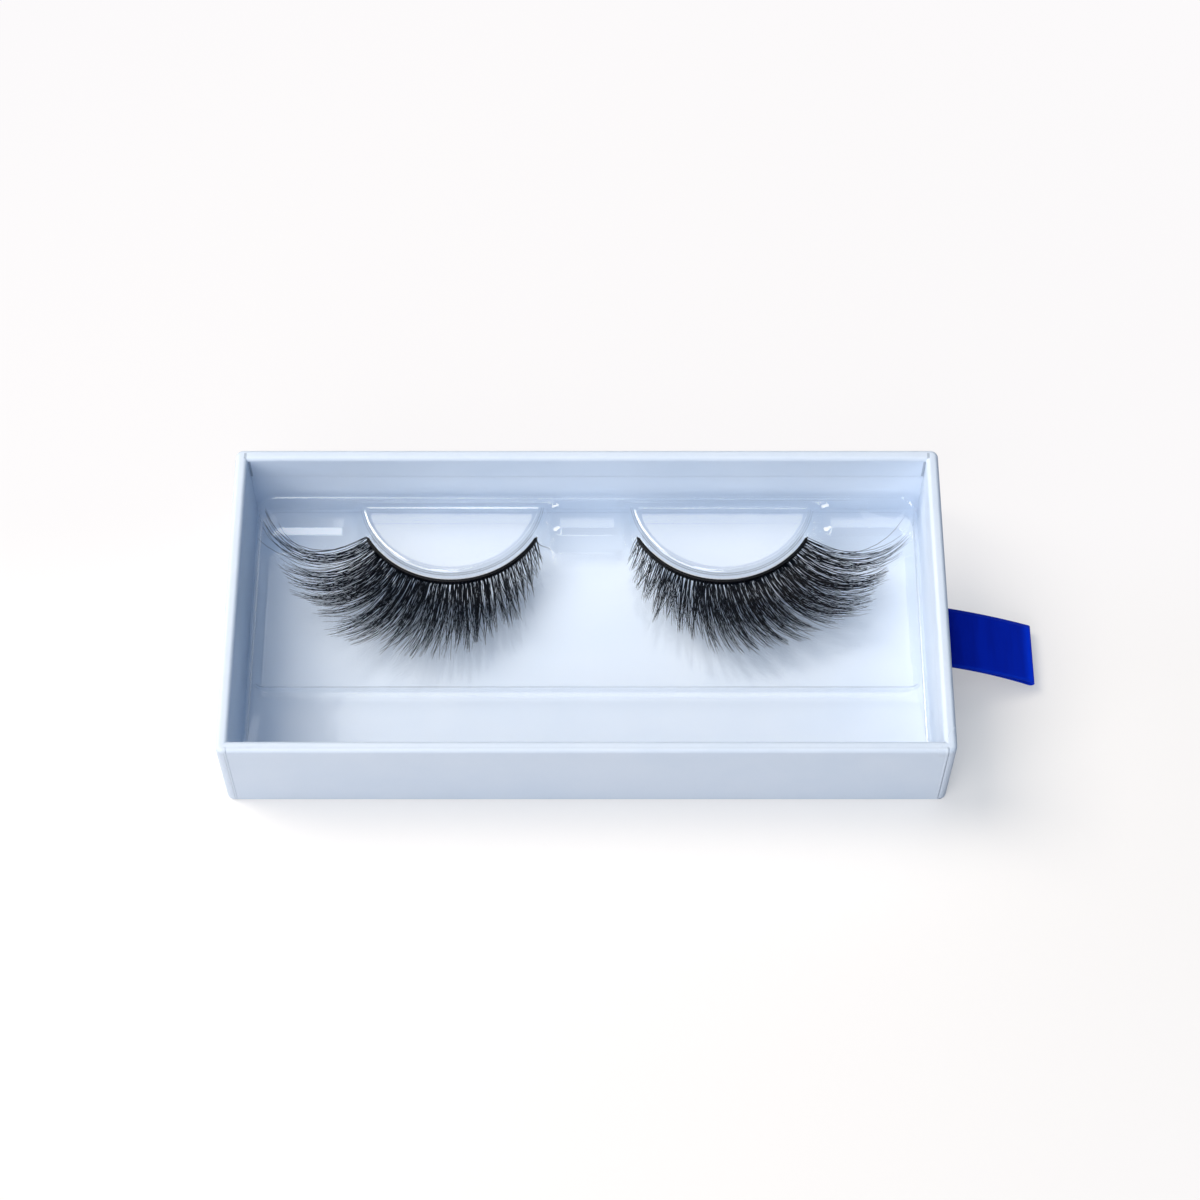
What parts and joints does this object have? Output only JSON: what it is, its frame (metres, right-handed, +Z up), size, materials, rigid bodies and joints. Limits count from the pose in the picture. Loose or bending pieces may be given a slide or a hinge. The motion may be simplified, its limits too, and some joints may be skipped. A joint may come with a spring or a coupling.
{
  "type": "eyelash tray",
  "caption": "Slide-out board drawer for strip lashes: paper covered, with a ribbon pull, a clear formed insert with two D-shaped pads, and a pair of lashes.",
  "frame": {"origin": "centre of the drawer's flat underside", "axes": "+X along the drawer towards the ribbon pull, +Y to the back where the pads' straight edges are, +Z up out of the drawer"},
  "size_m": [0.1247, 0.0524, 0.017],
  "materials": {
    "greyboard": "raw grey board",
    "stay_tape": "kraft corner tape",
    "blue_white_paper": "pale blue-white satin laminated paper",
    "blue_ribbon": "royal blue woven satin ribbon",
    "clear_sheet": "clear thin formed sheet, gloss",
    "tack": "clear tacky glue",
    "black_cotton": "black cotton thread band",
    "black_hair": "black fine synthetic hair, slight sheen"
  },
  "bodies": {
    "drawer": {"board_base": "greyboard", "board_front": "greyboard", "board_back": "greyboard", "board_left": "greyboard", "board_right": "greyboard", "corner_stay_front_left": "stay_tape", "corner_stay_front_right": "stay_tape", "corner_stay_back_left": "stay_tape", "corner_stay_back_right": "stay_tape", "wrap_paper": "blue_white_paper", "lining_paper": "blue_white_paper", "ribbon_tail": "blue_ribbon"},
    "ribbon": {"ribbon_loop": "blue_ribbon"},
    "insert": {"insert_tray": "clear_sheet", "tack_strip_left": "tack", "tack_strip_right": "tack"},
    "left_lash": {"lash_band_left": "black_cotton", "lash_fibres_left": "black_hair"},
    "right_lash": {"lash_band_right": "black_cotton", "lash_fibres_right": "black_hair"}
  },
  "joints": [
    {"name": "ribbon_swing", "type": "hinge", "parent": "drawer", "child": "ribbon", "pos_m": [0.05532, -0.00225, 0.008], "axis": [0, -1, 0], "range_deg": [-5, 100]},
    {"name": "insert_lift", "type": "slide", "parent": "drawer", "child": "insert", "axis": [0, 0, 1], "range_m": [0, 0.03]},
    {"name": "left_lash_peel", "type": "slide", "parent": "insert", "child": "left_lash", "axis": [0, 0, 1], "range_m": [0, 0.02]},
    {"name": "right_lash_peel", "type": "slide", "parent": "insert", "child": "right_lash", "axis": [0, 0, 1], "range_m": [0, 0.02]}
  ]
}
